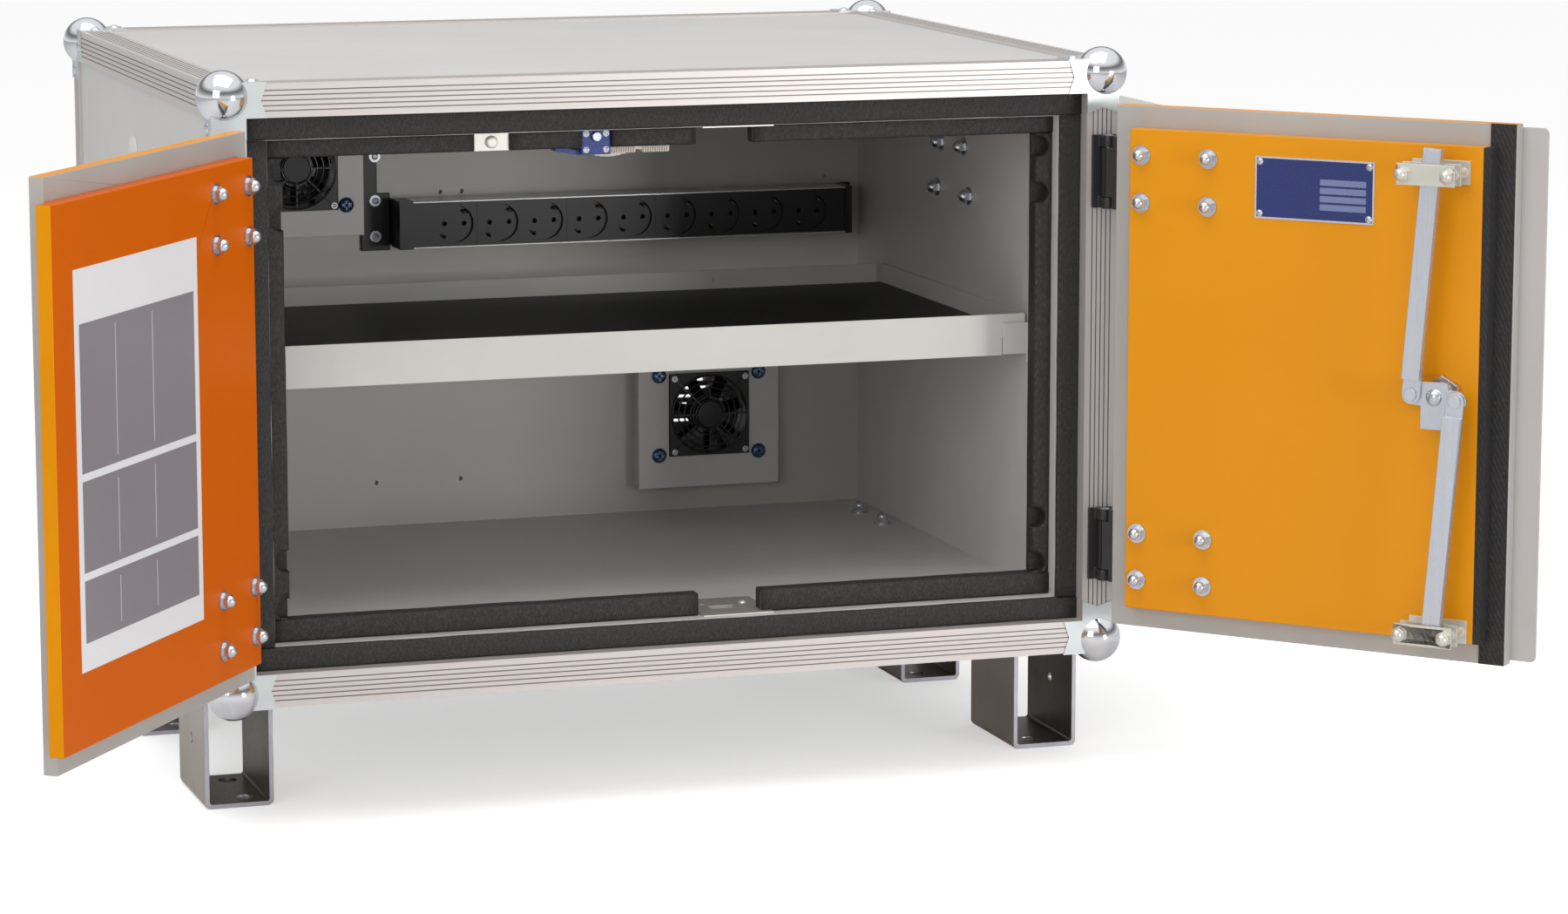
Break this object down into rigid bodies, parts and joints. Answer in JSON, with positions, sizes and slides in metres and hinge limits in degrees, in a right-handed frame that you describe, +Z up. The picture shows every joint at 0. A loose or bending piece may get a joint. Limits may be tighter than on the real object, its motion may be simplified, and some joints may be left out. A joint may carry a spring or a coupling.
{
  "type": "battery cabinet",
  "caption": "Insulated battery charging cabinet on anchored feet: hinged double door with rod latch, ball-cornered rails, shelf, socket strip, fans and side electrical box.",
  "frame": {"origin": "on the floor, in the middle of the anchor holes in the four feet", "axes": "+X to the right as one faces the doors, +Y to the back, +Z up"},
  "size_m": [1.2616, 1.0112, 0.6391],
  "materials": {
    "panel_laminate": "light grey laminate skin on an insulating board",
    "inner_laminate": "light grey laminate",
    "rail_aluminium": "grooved, satin anodised",
    "corner_chrome": "polished ball with zinc plated legs",
    "foot_steel": "galvanised sheet steel",
    "seal_foam": "fabric covered foam seal",
    "shelf_paint": "light grey powder coat",
    "shelf_mat": "smooth dark mat",
    "strip_aluminium": "satin anodised profile",
    "socket_plastic": "black moulded plastic",
    "black_bracket": "black powder coat",
    "fan_cover": "light grey powder coat",
    "fan_plastic": "black moulded plastic",
    "guard_wire": "black coated wire",
    "zinc_steel": "bright zinc plate",
    "switch_plastic": "blue moulded plastic",
    "plunger_plastic": "white moulded plastic",
    "box_paint": "light grey powder coat",
    "vent_plastic": "grey moulded plastic",
    "hinge_black": "satin black",
    "pin_steel": "bright steel",
    "door_laminate": "light grey laminate with coloured edges",
    "right_inner_laminate": "orange laminate",
    "left_inner_laminate": "dark orange laminate",
    "handle_plastic": "black moulded grip",
    "guide_plates": "zinc plated plates and brass spacers"
  },
  "bodies": {
    "case": {"panel_top": "panel_laminate", "panel_bottom": "panel_laminate", "panel_left": "panel_laminate", "panel_right": "panel_laminate", "panel_rear": "panel_laminate", "inner_rear_wall": "inner_laminate", "front_rail_top": "rail_aluminium", "front_rail_bottom": "rail_aluminium", "front_rail_left": "rail_aluminium", "front_rail_right": "rail_aluminium", "rear_rails": "rail_aluminium", "side_rails": "rail_aluminium", "ball_corners_front": "corner_chrome", "ball_corners_rear": "corner_chrome", "foot_front_left": "foot_steel", "foot_front_right": "foot_steel", "foot_rear_left": "foot_steel", "foot_rear_right": "foot_steel", "outer_seal": "seal_foam", "inner_seal": "seal_foam", "shelf": "shelf_paint", "shelf_mat": "shelf_mat", "shelf_rails": "shelf_paint", "strip_channel": "strip_aluminium", "socket_block": "socket_plastic", "strip_brackets": "black_bracket", "fan_covers": "fan_cover", "fan_frame_upper": "fan_plastic", "fan_frame_lower": "fan_plastic", "fan_guards": "guard_wire", "vent_covers": "vent_plastic", "strike_top": "zinc_steel", "strike_bottom": "zinc_steel", "catch_bracket": "zinc_steel", "switch_box": "switch_plastic", "side_box": "box_paint", "side_box_lid": "box_paint", "case_fasteners": "zinc_steel", "fixed_hinge_leaves": "hinge_black", "hinge_pins": "pin_steel"},
    "left_door": {"left_outer_leaf": "door_laminate", "left_inner_leaf": "left_inner_laminate", "left_hinge_straps": "hinge_black", "left_door_bolts": "zinc_steel"},
    "right_door": {"right_outer_leaf": "door_laminate", "right_inner_leaf": "right_inner_laminate", "right_hinge_straps": "hinge_black", "right_door_bolts": "zinc_steel", "astragal": "shelf_paint", "right_door_seals": "seal_foam", "latch_barrel": "zinc_steel", "rod_guides": "guide_plates"},
    "latch": {"latch_handle": "handle_plastic", "latch_cam": "zinc_steel"},
    "upper_rod": {"upper_rod": "zinc_steel"},
    "lower_rod": {"lower_rod": "zinc_steel"},
    "upper_fan_rotor": {"fan_rotor_upper": "fan_plastic"},
    "lower_fan_rotor": {"fan_rotor_lower": "fan_plastic"},
    "catch_knob": {"catch_knob": "zinc_steel"},
    "switch_plunger": {"switch_plunger": "plunger_plastic"}
  },
  "joints": [
    {"name": "left_door_hinge", "type": "hinge", "parent": "case", "child": "left_door", "pos_m": [-0.388, -0.2995, 0.366], "axis": [0, 0, -1], "range_deg": [-126, 54]},
    {"name": "right_door_hinge", "type": "hinge", "parent": "case", "child": "right_door", "pos_m": [0.388, -0.2995, 0.366], "axis": [0, 0, 1], "range_deg": [-131.5, 48.5]},
    {"name": "latch_turn", "type": "hinge", "parent": "right_door", "child": "latch", "pos_m": [0.56596, -0.58667, 0.366], "axis": [0.749, 0.6626, 0], "range_deg": [0, 85]},
    {"name": "upper_rod_pivot", "type": "hinge", "parent": "latch", "child": "upper_rod", "pos_m": [0.55065, -0.57389, 0.36773], "axis": [0.749, 0.6626, 0], "range_deg": [-90, 0]},
    {"name": "lower_rod_pivot", "type": "hinge", "parent": "latch", "child": "lower_rod", "pos_m": [0.57678, -0.60343, 0.36427], "axis": [0.749, 0.6626, 0], "range_deg": [-90, 0]},
    {"name": "upper_fan_spin", "type": "hinge", "parent": "case", "child": "upper_fan_rotor", "pos_m": [-0.214, 0.2505, 0.501], "axis": [0, 1, 0], "continuous": true},
    {"name": "lower_fan_spin", "type": "hinge", "parent": "case", "child": "lower_fan_rotor", "pos_m": [0.191, 0.2505, 0.249], "axis": [0, 1, 0], "continuous": true},
    {"name": "catch_push", "type": "slide", "parent": "case", "child": "catch_knob", "axis": [0, 1, 0], "range_m": [0, 0.0037], "stiffness_N_per_m": 400},
    {"name": "switch_push", "type": "slide", "parent": "case", "child": "switch_plunger", "axis": [0, 1, 0], "range_m": [0, 0.0037], "stiffness_N_per_m": 200}
  ],
  "couplings": [
    {"joint": "upper_rod_pivot", "follows": "latch_turn", "ratio": -1.0541},
    {"joint": "lower_rod_pivot", "follows": "latch_turn", "ratio": -1.0541}
  ]
}
